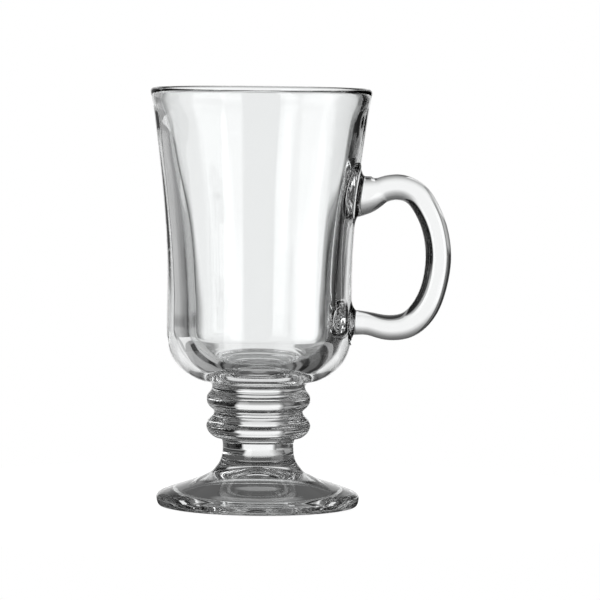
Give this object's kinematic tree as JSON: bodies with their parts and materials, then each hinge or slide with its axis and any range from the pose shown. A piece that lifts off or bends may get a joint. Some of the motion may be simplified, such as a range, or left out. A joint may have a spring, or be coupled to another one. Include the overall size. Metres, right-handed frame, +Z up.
{
  "type": "irish coffee mug",
  "caption": "Footed glass mug for hot drinks: flared thick-walled bowl, ringed stem, domed foot and a solid D-shaped handle.",
  "frame": {"origin": "on the mug's own axis, at the height of the ring under the foot that it stands on", "axes": "+Z up along the bowl's axis, +X towards the handle"},
  "size_m": [0.1063, 0.078, 0.147],
  "materials": {
    "clear_glass": "clear pressed soda-lime glass, fire-polished"
  },
  "bodies": {
    "root": {"bowl": "clear_glass", "upper_ring": "clear_glass", "lower_ring": "clear_glass", "stem": "clear_glass", "foot": "clear_glass", "handle": "clear_glass"}
  },
  "joints": []
}
